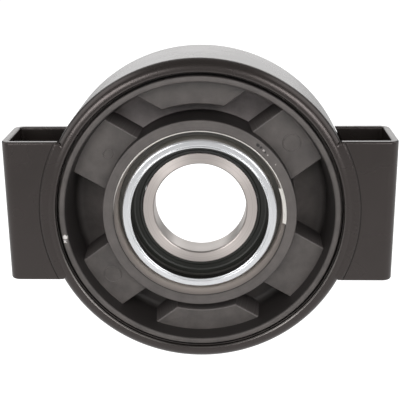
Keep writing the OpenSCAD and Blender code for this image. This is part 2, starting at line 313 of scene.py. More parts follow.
# Rubber cushion
# One moulding of black rubber, bonded to the inner sleeve and held under the housing's lip.
# Six pads, a collar and a rim bead stand up from its web, with the mould's draft on their walls.
SLEEVE_R = 55.1
COLLAR_R = 61.8
COLLAR_FRONT = -22.4
RECESS_FLOOR = 7.2
WEB_REAR = 21.2
RIM_FOOT_R = 82.6
RIM_FOOT_ROUND = 4.5
RIM_PAD_R = 84.0
RIM_IN_R = 85.5
RIM_R = 89.4
RIM_FRONT = -24.1
RIM_ROUND = 1.5
GROOVE_FLOOR = -16.0
GROOVE_ROUND = 0.6
PAD_IN_R = 69.7
PAD_FRONT = -12.8
PAD_EDGE_ROUND = 0.9
PAD_DRAFT = 2.5
PAD_ROOT = 1.0
PATTERN_TURN = math.radians(3.2)
PAD_ANGLE = math.radians(33.6)
SIDE_EDGE_OFFSET = 18.3
SLOT_OFFSET = 22.1
SLOT_W = 23.0
# A hair's breadth, which keeps the rubber's faces off the steel's
HAIR = 0.05
# Plain rings left on the pads by the mould: x, z and radius
MOULD_RINGS = ((58.0, 44.7, 5.5), (-57.9, -44.3, 5.5), (-57.8, 37.7, 3.0))
MOULD_RING_W = 0.8

cushion = turned([
    (SLEEVE_R, WEB_REAR, 0.5), (SLEEVE_R, COLLAR_FRONT, 0.3), (COLLAR_R, COLLAR_FRONT, 1.2),
    (COLLAR_R, RECESS_FLOOR, 1.5), (RIM_FOOT_R, RECESS_FLOOR, RIM_FOOT_ROUND),
    (RIM_PAD_R, PAD_FRONT, 0), (RIM_IN_R, RIM_FRONT, RIM_ROUND), (RIM_R, RIM_FRONT, RIM_ROUND),
    (RIM_R, GROOVE_FLOOR, GROOVE_ROUND), (LIP_R, GROOVE_FLOOR, GROOVE_ROUND),
    (LIP_R, LIP_BACK + HAIR, 0), (HOUSING_BORE_R - BEND_IN, LIP_BACK + HAIR, 0),
    (HOUSING_BORE_R - HAIR, LIP_BACK + BEND_IN, 0), (HOUSING_BORE_R - HAIR, WEB_REAR, 1)])

# The pads start as one flat ring in the plane of their fronts, rooted in the collar and in the
# rim, which is cut along the edges of the recesses.
pads = bmesh.new()
rungs = [pads.verts.new((radius * MM, PAD_FRONT * MM, 0))
         for radius in (SLEEVE_R + PAD_DRAFT, PAD_IN_R, RIM_IN_R + RIM_ROUND)]
spokes = [pads.edges.new(pair) for pair in zip(rungs, rungs[1:])]
bmesh.ops.spin(pads, geom=rungs + spokes, cent=(0, 0, 0), axis=(0, 1, 0), angle=math.tau,
               steps=SPIN_STEPS, use_merge=True)
pattern = Matrix.Rotation(-PATTERN_TURN, 3, "Y")
for right in (1, -1):
    for up in (1, -1):
        along = pattern @ Vector((right * math.cos(PAD_ANGLE), 0, up * math.sin(PAD_ANGLE)))
        across = pattern @ Vector((-right * math.sin(PAD_ANGLE), 0, up * math.cos(PAD_ANGLE)))
        for offset in (-SIDE_EDGE_OFFSET, SLOT_OFFSET, SLOT_OFFSET + SLOT_W):
            faces = [f for f in pads.faces if f.calc_center_median().dot(along) > 0]
            edges = {e for f in faces for e in f.edges}
            verts = {v for f in faces for v in f.verts}
            bmesh.ops.bisect_plane(pads, geom=faces + list(edges) + list(verts), dist=0.001 * MM,
                                   plane_co=across * offset * MM, plane_no=across)


def in_recess(face):
    """Whether a face of the ring lies in a side recess, a diagonal slot or the collar's groove."""
    middle = pattern.transposed() @ face.calc_center_median() / MM
    across = abs(middle.z) * math.cos(PAD_ANGLE) - abs(middle.x) * math.sin(PAD_ANGLE)
    in_groove = math.hypot(middle.x, middle.z) < PAD_IN_R
    return across < -SIDE_EDGE_OFFSET or (
        across > SLOT_OFFSET and (in_groove or across < SLOT_OFFSET + SLOT_W))


# What is left is widened by the draft into the pads' feet, which go down into the web. The ring of
# faces between is the pads' walls, and their fronts are filled in again.
bmesh.ops.delete(pads, geom=[f for f in pads.faces if in_recess(f)], context="FACES")
bmesh.ops.dissolve_faces(pads, faces=pads.faces[:])
bmesh.ops.dissolve_limit(pads, angle_limit=math.radians(0.5), verts=pads.verts, edges=pads.edges)
feet = pads.faces[:]
bmesh.ops.inset_region(pads, faces=feet, thickness=-PAD_DRAFT * MM, use_even_offset=True, use_boundary=True)
bmesh.ops.translate(pads, vec=(0, (RECESS_FLOOR + PAD_ROOT - PAD_FRONT) * MM, 0),
                    verts=list({v for f in feet for v in f.verts}))
bmesh.ops.holes_fill(pads, edges=[e for e in pads.edges if e.is_boundary], sides=0)
bmesh.ops.dissolve_degenerate(pads, dist=PAD_EDGE_ROUND * MM, edges=pads.edges)
bmesh.ops.recalc_face_normals(pads, faces=pads.faces)
pad_edges = [e for e in pads.edges if all(v.co.y < (PAD_FRONT + HAIR) * MM for v in e.verts)]
bmesh.ops.bevel(pads, geom=pad_edges, affect="EDGES", offset=PAD_EDGE_ROUND * MM, offset_type="OFFSET",
                segments=4, profile=0.5, material=-1)

for x, z, ring_r in MOULD_RINGS:
    middle = Vector((x, PAD_FRONT, z)) * MM
    wire = bmesh.ops.create_circle(pads, segments=8, radius=MOULD_RING_W / 2 * MM,
                                   matrix=Matrix.Translation(middle + Vector((ring_r * MM, 0, 0))))["verts"]
    wire += list({e for v in wire for e in v.link_edges})
    bmesh.ops.spin(pads, geom=wire, cent=middle, axis=(0, 1, 0), angle=math.tau, steps=48, use_merge=True)
bmesh.ops.recalc_face_normals(pads, faces=pads.faces)

# The pads' upper edges, whose rounded faces lean forwards and up, carry a painted highlight
EDGE_LIGHT = 0.6
edge_highlight = pads.verts.layers.float.new("edge_highlight")
for face in pads.faces:
    if -0.9 < face.normal.y < -0.3 and face.normal.z > 0.1:
        for vert in face.verts:
            vert[edge_highlight] = min(EDGE_LIGHT, face.normal.z)

# Moulded black rubber: matt, warm dark grey, with a cloudy bloom and a grain that is drawn 0.8 mm
# wide to show. Walls are painted darker than faces, as shade. The recesses shine less; their floors
# are painted darker towards the rim, as shade, and lighter in the upper ones, as light. The collar's
# front is rubbed a little lighter in fine rings, and the rim's top and the pads' upper edges are
# painted lighter in the same rings, as highlights.
BLOOM = 14.0
GRAIN = 0.8
GRAIN_DEPTH = 0.04
RUB_START = -21.4
RUB_END = -22.3
RUB_RING = 0.9
RIM_LIGHT_START = 25.0
RIM_SHADE_START_R = 66.0
RIM_SHADE_END_R = 83.0
UPPER_START = 30.0
UPPER_END = 40.0
FLOOR_FADE = 11.0
FLOOR_SKIN = 1.0
# Nicks on the collar and specks of flash on the rim: x, y, z, radius and colour
RUBBER_MARKS = (
    (36.6, -22.4, 45.9, 1.3, "#191615"), (38.4, -22.4, 44.3, 1.1, "#191615"),
    (39.9, -22.4, 42.4, 0.8, "#b4aeab"), (41.0, -22.4, 41.3, 0.8, "#191615"),
    (42.5, -22.4, 39.4, 0.7, "#b4aeab"), (47.6, -22.4, 33.4, 0.6, "#b4aeab"),
    (-86.0, -23.6, -14.4, 1.9, "#e6e1de"), (-86.0, -23.4, -17.2, 1.4, "#e6e1de"))
MARK_RAG = 1.6
MARK_CORE = 0.6

cushion_rubber = new_material("moulded_black_rubber")
coords = add_node(cushion_rubber, "ShaderNodeTexCoord")
place = coords.outputs["Object"]
bloom = add_node(cushion_rubber, "ShaderNodeTexNoise", {
    "Vector": place, "Scale": 1 / (BLOOM * MM), "Detail": 5, "Roughness": 0.6})
grain = add_node(cushion_rubber, "ShaderNodeTexNoise", {
    "Vector": place, "Scale": 1 / (GRAIN * MM), "Detail": 3})
parts = add_node(cushion_rubber, "ShaderNodeSeparateXYZ", {"Vector": place})
facing = add_node(cushion_rubber, "ShaderNodeSeparateXYZ", {"Vector": coords.outputs["Normal"]})
lean = add_node(cushion_rubber, "ShaderNodeMath", {0: facing.outputs["Y"]}, operation="ABSOLUTE")
face_on = add_node(cushion_rubber, "ShaderNodeMapRange", {
    "Value": lean.outputs[0], "From Min": 0.45, "From Max": 0.85})
mottle = add_node(cushion_rubber, "ShaderNodeMapRange", {
    "Value": bloom.outputs[0], "From Min": 0.3, "From Max": 0.7})
tint = add_node(cushion_rubber, "ShaderNodeMix", {
    0: mottle.outputs[0], MIX_A: linear("#443f3d"), MIX_B: linear("#5d5754")}, data_type="RGBA")
# Walls are painted darker than faces, as shade
walls_shaded = add_node(cushion_rubber, "ShaderNodeMix", {
    0: face_on.outputs[0], MIX_A: linear("#2f2b2a"), MIX_B: tint.outputs[MIX_OUT]}, data_type="RGBA")

_, radius = from_axis(cushion_rubber, place)
# Recess floors below the upper ones are painted darker towards the rim, as shade
outward = add_node(cushion_rubber, "ShaderNodeMapRange", {
    "Value": radius, "From Min": RIM_SHADE_START_R * MM, "From Max": RIM_SHADE_END_R * MM, "To Max": 0.8})
depth = add_node(cushion_rubber, "ShaderNodeMapRange", {
    "Value": parts.outputs["Y"], "From Min": (RECESS_FLOOR - FLOOR_FADE) * MM,
    "From Max": (RECESS_FLOOR - FLOOR_SKIN) * MM})
front = add_node(cushion_rubber, "ShaderNodeMath", {0: facing.outputs["Y"], 1: 0.5}, operation="LESS_THAN")
on_floor = add_node(cushion_rubber, "ShaderNodeMath", {0: depth.outputs[0], 1: front.outputs[0]},
                    operation="MULTIPLY")
high = add_node(cushion_rubber, "ShaderNodeMapRange", {
    "Value": parts.outputs["Z"], "From Min": UPPER_START * MM, "From Max": UPPER_END * MM})
low = add_node(cushion_rubber, "ShaderNodeMath", {0: 1.0, 1: high.outputs[0]}, operation="SUBTRACT")
floor_low = add_node(cushion_rubber, "ShaderNodeMath", {0: on_floor.outputs[0], 1: low.outputs[0]},
                     operation="MULTIPLY")
rim_shade = add_node(cushion_rubber, "ShaderNodeMath", {0: outward.outputs[0], 1: floor_low.outputs[0]},
                 operation="MULTIPLY")
rim_shaded = add_node(cushion_rubber, "ShaderNodeMix", {
    0: rim_shade.outputs[0], MIX_A: walls_shaded.outputs[MIX_OUT], MIX_B: linear("#2c2928")}, data_type="RGBA")
floor_face = add_node(cushion_rubber, "ShaderNodeMath", {0: on_floor.outputs[0], 1: face_on.outputs[0]},
                      operation="MULTIPLY")
# The upper recesses' floors are painted lighter, as light
upper_floor_light = add_node(cushion_rubber, "ShaderNodeMath", {0: floor_face.outputs[0], 1: high.outputs[0]},
                 operation="MULTIPLY")
upper_floor_light_tint = add_node(cushion_rubber, "ShaderNodeMix", {
    0: mottle.outputs[0], MIX_A: linear("#6f6867"), MIX_B: linear("#8c8584")}, data_type="RGBA")
upper_floors_lit = add_node(cushion_rubber, "ShaderNodeMix", {
    0: upper_floor_light.outputs[0], MIX_A: rim_shaded.outputs[MIX_OUT], MIX_B: upper_floor_light_tint.outputs[MIX_OUT]}, data_type="RGBA")

proud = add_node(cushion_rubber, "ShaderNodeMapRange", {
    "Value": parts.outputs["Y"], "From Min": RUB_START * MM, "From Max": RUB_END * MM, "To Max": 0.18})
on_collar = add_node(cushion_rubber, "ShaderNodeMath", {0: radius, 1: PAD_IN_R * MM}, operation="LESS_THAN")
# The rim is painted lighter towards its top, as light; the collar's front is rubbed
rim_top_light = add_node(cushion_rubber, "ShaderNodeMapRange", {
    "Value": parts.outputs["Z"], "From Min": RIM_LIGHT_START * MM, "From Max": RIM_R * MM})
rubbed_and_lit = add_node(cushion_rubber, "ShaderNodeMath", {0: on_collar.outputs[0], 1: rim_top_light.outputs[0]},
                   operation="MAXIMUM")
proud_face = add_node(cushion_rubber, "ShaderNodeMath", {0: proud.outputs[0], 1: face_on.outputs[0]},
                      operation="MULTIPLY")
crest = add_node(cushion_rubber, "ShaderNodeMath", {0: proud_face.outputs[0], 1: rubbed_and_lit.outputs[0]},
                 operation="MULTIPLY")
# The pads' upper edges carry a painted highlight
edge_share = add_node(cushion_rubber, "ShaderNodeAttribute", attribute_name="edge_highlight")
rub_and_highlight = add_node(cushion_rubber, "ShaderNodeMath", {0: crest.outputs[0], 1: edge_share.outputs["Fac"]},
               operation="MAXIMUM")
rings = add_node(cushion_rubber, "ShaderNodeTexNoise", {
    "W": radius, "Scale": 1 / (RUB_RING * MM), "Detail": 2}, noise_dimensions="1D")
rub_and_highlight_tint = add_node(cushion_rubber, "ShaderNodeMix", {
    0: rings.outputs[0], MIX_A: linear("#5c5553"), MIX_B: linear("#8a8482")}, data_type="RGBA")
colour = add_node(cushion_rubber, "ShaderNodeMix", {
    0: rub_and_highlight.outputs[0], MIX_A: upper_floors_lit.outputs[MIX_OUT], MIX_B: rub_and_highlight_tint.outputs[MIX_OUT]}, data_type="RGBA")

jitter = add_node(cushion_rubber, "ShaderNodeTexNoise", {"Vector": place, "Scale": 1 / MM, "Detail": 1})
ragged = add_node(cushion_rubber, "ShaderNodeVectorMath", {
    0: jitter.outputs["Color"], 1: (MARK_RAG * MM,) * 3, 2: place}, operation="MULTIPLY_ADD")
for x, y, z, size, hex_colour in RUBBER_MARKS:
    middle = (Vector((x, y, z)) + Vector((1, 1, 1)) * MARK_RAG / 2) * MM
    reach = add_node(cushion_rubber, "ShaderNodeVectorMath", {0: ragged.outputs[0], 1: middle},
                     operation="DISTANCE")
    mark = add_node(cushion_rubber, "ShaderNodeMapRange", {
        "Value": reach.outputs["Value"], "From Min": size * MM, "From Max": MARK_CORE * size * MM})
    colour = add_node(cushion_rubber, "ShaderNodeMix", {
        0: mark.outputs[0], MIX_A: colour.outputs[MIX_OUT], MIX_B: linear(hex_colour)}, data_type="RGBA")

gloss = add_node(cushion_rubber, "ShaderNodeMapRange", {
    "Value": bloom.outputs[0], "To Min": 0.48, "To Max": 0.62})
shine = add_node(cushion_rubber, "ShaderNodeMapRange", {
    "Value": on_floor.outputs[0], "To Min": 0.5, "To Max": 0.2})
relief = add_node(cushion_rubber, "ShaderNodeBump", {
    "Height": grain.outputs[0], "Strength": 0.15, "Distance": GRAIN_DEPTH * MM})
skin = add_node(cushion_rubber, "ShaderNodeBsdfPrincipled", {
    "Base Color": colour.outputs[MIX_OUT], "Roughness": gloss.outputs[0], "Normal": relief.outputs[0],
    "Specular IOR Level": shine.outputs[0]})
add_node(cushion_rubber, "ShaderNodeOutputMaterial", {"Surface": skin.outputs[0]})

for bm, name in ((cushion, "cushion_body"), (pads, "cushion_pads")):
    moulding = finished(bm, name, cushion_rubber)
    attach(moulding, "housing")
    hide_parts("rubber_cushion")

# Inner sleeve
# A steel tube under a thin brown bonding coat, with a tapered mouth at each end. The cushion is
# bonded to it and the bearing is pressed into it. A thin flake of its bright edge stands in the
# front mouth on the right.
BEARING_R = 52.5
SLEEVE_END = 22.8
SLEEVE_EDGE = 0.2
MOUTH_R = 54.4
MOUTH_FOOT = 13.8
MOUTH_FOOT_ROUND = 1.5
CHIP_TOP = 18.3
CHIP_BOTTOM = -5.5
CHIP_BACK = -15.5
FLAKE_IN_R = 52.8
FLAKE_OUT_R = 54.6
FLAKE_FRONT = -22.75
FLAKE_LEAN = 0.85
FLAKE_SHEET = 0.3
FLAKE_EDGE = 0.25
FLAKE_STEPS = 24

# Bonding coat on steel: satin and brownish grey, paler further into the mouth, with a dark line on
# the very edge. The edge's upper half is painted bright and partly metallic, as a highlight, and
# where the coat is chipped off on the right, the mouth is pale and smooth.
COAT_SPOT = 4.0
CHIP_RAG = 2.0
EDGE_LINE = 0.3
EDGE_GLINT_TOP = 25.0
COAT_DARK = 22.0
COAT_PALE = 15.0

coated_sleeve = new_material("bonding_coat_on_steel")
place = add_node(coated_sleeve, "ShaderNodeTexCoord").outputs["Object"]
parts = add_node(coated_sleeve, "ShaderNodeSeparateXYZ", {"Vector": place})
spots = add_node(coated_sleeve, "ShaderNodeTexNoise", {
    "Vector": place, "Scale": 1 / (COAT_SPOT * MM), "Detail": 4})
rag = add_node(coated_sleeve, "ShaderNodeMapRange", {
    "Value": spots.outputs[0], "To Min": -CHIP_RAG * MM, "To Max": CHIP_RAG * MM})
height = add_node(coated_sleeve, "ShaderNodeMath", {0: parts.outputs["Z"], 1: rag.outputs[0]},
                  operation="ADD")
from_middle = add_node(coated_sleeve, "ShaderNodeMath", {
    0: height.outputs[0], 1: (CHIP_TOP + CHIP_BOTTOM) / 2 * MM}, operation="SUBTRACT")
reach = add_node(coated_sleeve, "ShaderNodeMath", {0: from_middle.outputs[0]}, operation="ABSOLUTE")
chip_height = add_node(coated_sleeve, "ShaderNodeMath", {
    0: reach.outputs[0], 1: (CHIP_TOP - CHIP_BOTTOM) / 2 * MM}, operation="LESS_THAN")
chip_side = add_node(coated_sleeve, "ShaderNodeMath", {0: parts.outputs["X"], 1: 0.0},
                     operation="GREATER_THAN")
chip_front = add_node(coated_sleeve, "ShaderNodeMath", {0: parts.outputs["Y"], 1: CHIP_BACK * MM},
                      operation="LESS_THAN")
chip_here = add_node(coated_sleeve, "ShaderNodeMath", {0: chip_height.outputs[0], 1: chip_side.outputs[0]},
                     operation="MULTIPLY")
chip = add_node(coated_sleeve, "ShaderNodeMath", {0: chip_here.outputs[0], 1: chip_front.outputs[0]},
                operation="MULTIPLY")
edge = add_node(coated_sleeve, "ShaderNodeMapRange", {
    "Value": parts.outputs["Y"], "From Min": (EDGE_LINE - SLEEVE_END) * MM,
    "From Max": (HAIR - SLEEVE_END) * MM})
# The edge's upper half is painted bright, as a highlight
upper = add_node(coated_sleeve, "ShaderNodeMapRange", {
    "Value": parts.outputs["Z"], "From Min": 0, "From Max": EDGE_GLINT_TOP * MM})
upper_edge_glint = add_node(coated_sleeve, "ShaderNodeMath", {0: edge.outputs[0], 1: upper.outputs[0]},
                  operation="MULTIPLY")
bare_and_glint = add_node(coated_sleeve, "ShaderNodeMath", {0: chip.outputs[0], 1: upper_edge_glint.outputs[0]},
                operation="MAXIMUM")
depth = add_node(coated_sleeve, "ShaderNodeMath", {0: parts.outputs["Y"]}, operation="ABSOLUTE")
inward = add_node(coated_sleeve, "ShaderNodeMapRange", {
    "Value": depth.outputs[0], "From Min": COAT_DARK * MM, "From Max": COAT_PALE * MM})
coat = add_node(coated_sleeve, "ShaderNodeMix", {
    0: inward.outputs[0], MIX_A: linear("#968d88"), MIX_B: linear("#ddd3cc")}, data_type="RGBA")
covered = add_node(coated_sleeve, "ShaderNodeMix", {
    0: edge.outputs[0], MIX_A: coat.outputs[MIX_OUT], MIX_B: linear("#2a2522")}, data_type="RGBA")
tint = add_node(coated_sleeve, "ShaderNodeMix", {
    0: bare_and_glint.outputs[0], MIX_A: covered.outputs[MIX_OUT], MIX_B: linear("#dfdbd5")}, data_type="RGBA")
gloss = add_node(coated_sleeve, "ShaderNodeMapRange", {
    "Value": bare_and_glint.outputs[0], "To Min": 0.45, "To Max": 0.28})
metal = add_node(coated_sleeve, "ShaderNodeMath", {0: upper_edge_glint.outputs[0], 1: 0.6}, operation="MULTIPLY")
skin = add_node(coated_sleeve, "ShaderNodeBsdfPrincipled", {
    "Base Color": tint.outputs[MIX_OUT], "Roughness": gloss.outputs[0], "Metallic": metal.outputs[0]})
add_node(coated_sleeve, "ShaderNodeOutputMaterial", {"Surface": skin.outputs[0]})

sleeve_tube = finished(turned([
    (BEARING_R, -MOUTH_FOOT, MOUTH_FOOT_ROUND), (MOUTH_R, -SLEEVE_END, SLEEVE_EDGE),
    (SLEEVE_R, -SLEEVE_END, SLEEVE_EDGE), (SLEEVE_R, SLEEVE_END, SLEEVE_EDGE),
    (MOUTH_R, SLEEVE_END, SLEEVE_EDGE), (BEARING_R, MOUTH_FOOT, MOUTH_FOOT_ROUND)]),
    "sleeve_tube", coated_sleeve)
chip_start = math.asin(CHIP_TOP / MOUTH_R)
flake = turned([
    (FLAKE_IN_R, FLAKE_FRONT + FLAKE_LEAN, 0), (FLAKE_OUT_R, FLAKE_FRONT, 0),
    (FLAKE_OUT_R, FLAKE_FRONT + FLAKE_EDGE, 0), (FLAKE_IN_R, FLAKE_FRONT + FLAKE_LEAN + FLAKE_SHEET, 0)],
    angle=chip_start + math.asin(-CHIP_BOTTOM / MOUTH_R), steps=FLAKE_STEPS)
bmesh.ops.holes_fill(flake, edges=[e for e in flake.edges if e.is_boundary], sides=0)
bmesh.ops.rotate(flake, verts=flake.verts, cent=(0, 0, 0), matrix=Matrix.Rotation(-chip_start, 3, "Y"))
bmesh.ops.recalc_face_normals(flake, faces=flake.faces)
mouth_flake = finished(flake, "mouth_flake", coated_sleeve)
for piece in (sleeve_tube, mouth_flake):
    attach(piece, "housing")
    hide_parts("inner_sleeve")

# Bearing rings
# Two rings of hardened bearing steel. The outer one is pressed into the sleeve and painted dark, as
# shade; the inner one, which takes the shaft, shows a finely turned face and a ground bore.
BORE_R = 30.0
RING_CHAMFER = 0.8
LAND_CHAMFER = 0.3
INNER_LAND_R = 37.2
RING_END = 9.0
RING_BREAK = 0.2
LAND_BREAK = 0.1
RACEWAY_HALF = 4.62
RACEWAY_TANGENT_R = 32.1
RACEWAY_ROUND = 6.8

# Turned bearing steel: bright and a little warm, with fine rings on its face that draw the
# highlights out, and a plainer bore. The rings are drawn 0.7 mm apart to show.
TURNED_RING = 0.7
TURNED_DEPTH = 0.02
STEEL_SMEAR = 12.0
BORE_SKIN = 0.3

ground_steel = new_material("turned_bearing_steel")
place = add_node(ground_steel, "ShaderNodeTexCoord").outputs["Object"]
flat, radius = from_axis(ground_steel, place)
rings = add_node(ground_steel, "ShaderNodeTexNoise", {
    "W": radius, "Scale": 1 / (TURNED_RING * MM), "Detail": 2}, noise_dimensions="1D")
smears = add_node(ground_steel, "ShaderNodeTexNoise", {
    "Vector": place, "Scale": 1 / (STEEL_SMEAR * MM), "Detail": 2})
tint = add_node(ground_steel, "ShaderNodeMix", {
    0: rings.outputs[0], MIX_A: linear("#b3aba7"), MIX_B: linear("#dad2cd")}, data_type="RGBA")
in_bore = add_node(ground_steel, "ShaderNodeMath", {0: radius, 1: (BORE_R + BORE_SKIN) * MM},
                   operation="LESS_THAN")
shade = add_node(ground_steel, "ShaderNodeMix", {
    0: in_bore.outputs[0], MIX_A: tint.outputs[MIX_OUT], MIX_B: linear("#b4aeaa")}, data_type="RGBA")
gloss = add_node(ground_steel, "ShaderNodeMapRange", {
    "Value": smears.outputs[0], "To Min": 0.28, "To Max": 0.4})
relief = add_node(ground_steel, "ShaderNodeBump", {
    "Height": rings.outputs[0], "Strength": 0.25, "Distance": TURNED_DEPTH * MM})
spread = add_node(ground_steel, "ShaderNodeVectorTransform", {0: flat}, vector_type="VECTOR",
                  convert_from="OBJECT", convert_to="WORLD")
skin = add_node(ground_steel, "ShaderNodeBsdfPrincipled", {
    "Base Color": shade.outputs[MIX_OUT], "Metallic": 1.0, "Roughness": gloss.outputs[0],
    "Anisotropic": 0.75, "Tangent": spread.outputs[0], "Normal": relief.outputs[0]})
add_node(ground_steel, "ShaderNodeOutputMaterial", {"Surface": skin.outputs[0]})

inner_ring = finished(turned([
    (BORE_R, RING_CHAMFER - RING_END, RING_BREAK), (BORE_R + RING_CHAMFER, -RING_END, RING_BREAK),
    (INNER_LAND_R - LAND_CHAMFER, -RING_END, LAND_BREAK),
    (INNER_LAND_R, LAND_CHAMFER - RING_END, LAND_BREAK), (INNER_LAND_R, -RACEWAY_HALF, 0),
    (RACEWAY_TANGENT_R, 0, RACEWAY_ROUND), (INNER_LAND_R, RACEWAY_HALF, 0),
    (INNER_LAND_R, RING_END - LAND_CHAMFER, LAND_BREAK),
    (INNER_LAND_R - LAND_CHAMFER, RING_END, LAND_BREAK),
    (BORE_R + RING_CHAMFER, RING_END, RING_BREAK), (BORE_R, RING_END - RING_CHAMFER, RING_BREAK)]),
    "inner_race", ground_steel)
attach(inner_ring, "inner_ring")
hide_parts("bearing_inner_ring")

# Bearing steel painted a flat, dark grey in small clouds, as the shade of the gap in front of it
DARK_CLOUD = 2.0

shade_dark_steel = new_material("shade_dark_bearing_steel")
place = add_node(shade_dark_steel, "ShaderNodeTexCoord").outputs["Object"]
dark_clouds = add_node(shade_dark_steel, "ShaderNodeTexNoise", {"Vector": place, "Scale": 1 / (DARK_CLOUD * MM), "Detail": 3})
tint = add_node(shade_dark_steel, "ShaderNodeMix", {
    0: dark_clouds.outputs[0], MIX_A: linear("#262421"), MIX_B: linear("#3a3834")}, data_type="RGBA")
skin = add_node(shade_dark_steel, "ShaderNodeBsdfPrincipled", {
    "Base Color": tint.outputs[MIX_OUT], "Roughness": 0.6})
add_node(shade_dark_steel, "ShaderNodeOutputMaterial", {"Surface": skin.outputs[0]})
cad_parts["bearing_outer_ring"].material_slots[0].material = shade_dark_steel

# Balls and cage
# Twelve lapped and polished steel balls, which run between the two rings. A cage of two pressed
# steel strips, riveted together between the balls, keeps them apart.

# Polished bearing steel is a near mirror with faint smears, and pressed strip is grey and half
# matt, with small rubbed patches. Each has a name, the size in mm and the detail of its smears or
# patches, a colour, and its least and most roughness.
STEELS = {"ball_": ("polished_bearing_steel", 3.0, 2, "#d6d9db", 0.06, 0.14),
          "cage_": ("pressed_steel_strip", 2.0, 4, "#a9abad", 0.3, 0.5)}

for prefix, (name, smear, detail, hex_colour, smooth, rough) in STEELS.items():
    steel = new_material(name)
    place = add_node(steel, "ShaderNodeTexCoord").outputs["Object"]
    smears = add_node(steel, "ShaderNodeTexNoise", {
        "Vector": place, "Scale": 1 / (smear * MM), "Detail": detail})
    gloss = add_node(steel, "ShaderNodeMapRange", {
        "Value": smears.outputs[0], "To Min": smooth, "To Max": rough})
    skin = add_node(steel, "ShaderNodeBsdfPrincipled", {
        "Base Color": linear(hex_colour), "Metallic": 1.0, "Roughness": gloss.outputs[0]})
    add_node(steel, "ShaderNodeOutputMaterial", {"Surface": skin.outputs[0]})
    for node_name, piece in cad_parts.items():
        if node_name.startswith(prefix):
            piece.material_slots[0].material = steel

# Seals
# Discs of nitrile rubber moulded on a steel washer, with a stepped face, snapped into the outer
# ring. A thin lip runs on the inner ring.
SEAL_OUT_R = 45.25
SEAL_RIM_R = 42.6
SEAL_LIP_R = 38.8
SEAL_IN_R = 37.5
SEAL_STEP = 0.6
SEAL_BACK = 7.5
SEAL_RIM = 8.5
SEAL_VALLEY = 8.05
SEAL_LIP = 8.6

# Nitrile rubber: black with a slight green cast, half matt, with a faint bloom and a grain that is
# drawn 0.6 mm wide to show
SEAL_GRAIN = 0.6
SEAL_GRAIN_DEPTH = 0.03
SEAL_BLOOM = 10.0

seal_rubber = new_material("nitrile_seal_rubber")
place = add_node(seal_rubber, "ShaderNodeTexCoord").outputs["Object"]
grain = add_node(seal_rubber, "ShaderNodeTexNoise", {
    "Vector": place, "Scale": 1 / (SEAL_GRAIN * MM), "Detail": 2})
bloom = add_node(seal_rubber, "ShaderNodeTexNoise", {
    "Vector": place, "Scale": 1 / (SEAL_BLOOM * MM), "Detail": 3})
tint = add_node(seal_rubber, "ShaderNodeMix", {
    0: bloom.outputs[0], MIX_A: linear("#1b1c18"), MIX_B: linear("#242520")}, data_type="RGBA")
relief = add_node(seal_rubber, "ShaderNodeBump", {
    "Height": grain.outputs[0], "Strength": 0.1, "Distance": SEAL_GRAIN_DEPTH * MM})
skin = add_node(seal_rubber, "ShaderNodeBsdfPrincipled", {
    "Base Color": tint.outputs[MIX_OUT], "Roughness": 0.42, "IOR": 1.5, "Normal": relief.outputs[0]})
add_node(seal_rubber, "ShaderNodeOutputMaterial", {"Surface": skin.outputs[0]})

for node_name, end in (("front_seal", -1), ("rear_seal", 1)):
    seal = finished(turned([(radius, end * along, rounding) for radius, along, rounding in (
        (SEAL_OUT_R, SEAL_BACK, 0.2), (SEAL_OUT_R, SEAL_RIM, 0.3), (SEAL_RIM_R, SEAL_RIM, 0.3),
        (SEAL_RIM_R - SEAL_STEP, SEAL_VALLEY, 0.2), (SEAL_LIP_R + SEAL_STEP, SEAL_VALLEY, 0.2),
        (SEAL_LIP_R, SEAL_LIP, 0.25), (SEAL_IN_R, SEAL_LIP, 0.25), (SEAL_IN_R, SEAL_BACK, 0.2))]),
        "moulded_" + node_name, seal_rubber)
    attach(seal, "housing")
    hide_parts(node_name)

# Dust shields
# Rings drawn from thin sheet steel and plated. A flange seats on the bearing's face, and the front
# edge is rolled inwards, with a pressed crease round its flat.
SHIELD_SHEET = 1.2
SHIELD_R = 49.2
SHIELD_LIP_R = 43.7
SHIELD_END = 21.8
SHIELD_RETURN = 16.05
SHIELD_ROLL = 1.5
SHIELD_EDGE = 0.7
SHIELD_CREASE_R = 45.1
SHIELD_CREASE_HALF = 0.4
SHIELD_CREASE_DEPTH = 0.3
FLANGE_R = 52.4

# Bright zinc plate: pale, cold and mirror-like in front, with faint smears. The outer wall behind
# the roll is dull, and the flange and the rolled edge's inside are painted dark, as shade.
PLATE_SMEAR = 9.0
FLANGE_SHADE_END = 9.9
FLANGE_SHADE_FADE = 10.6
WALL_SKIN = 0.4
ROLL_SKIN = 0.5
INSIDE_SKIN = 0.15

plated_shield = new_material("bright_zinc_plate")
place = add_node(plated_shield, "ShaderNodeTexCoord").outputs["Object"]
smears = add_node(plated_shield, "ShaderNodeTexNoise", {
    "Vector": place, "Scale": 1 / (PLATE_SMEAR * MM), "Detail": 3})
parts = add_node(plated_shield, "ShaderNodeSeparateXYZ", {"Vector": place})
depth = add_node(plated_shield, "ShaderNodeMath", {0: parts.outputs["Y"]}, operation="ABSOLUTE")
_, radius = from_axis(plated_shield, place)
outside = add_node(plated_shield, "ShaderNodeMath", {0: radius, 1: (SHIELD_R - WALL_SKIN) * MM},
                   operation="GREATER_THAN")
behind_roll = add_node(plated_shield, "ShaderNodeMapRange", {
    "Value": depth.outputs[0], "From Min": (SHIELD_END - ROLL_SKIN) * MM,
    "From Max": (SHIELD_END - SHIELD_ROLL) * MM})
wall = add_node(plated_shield, "ShaderNodeMath", {0: outside.outputs[0], 1: behind_roll.outputs[0]},
                operation="MULTIPLY")
shade = add_node(plated_shield, "ShaderNodeMix", {
    0: wall.outputs[0], MIX_A: linear("#dfe0e2"), MIX_B: linear("#8a8882")}, data_type="RGBA")
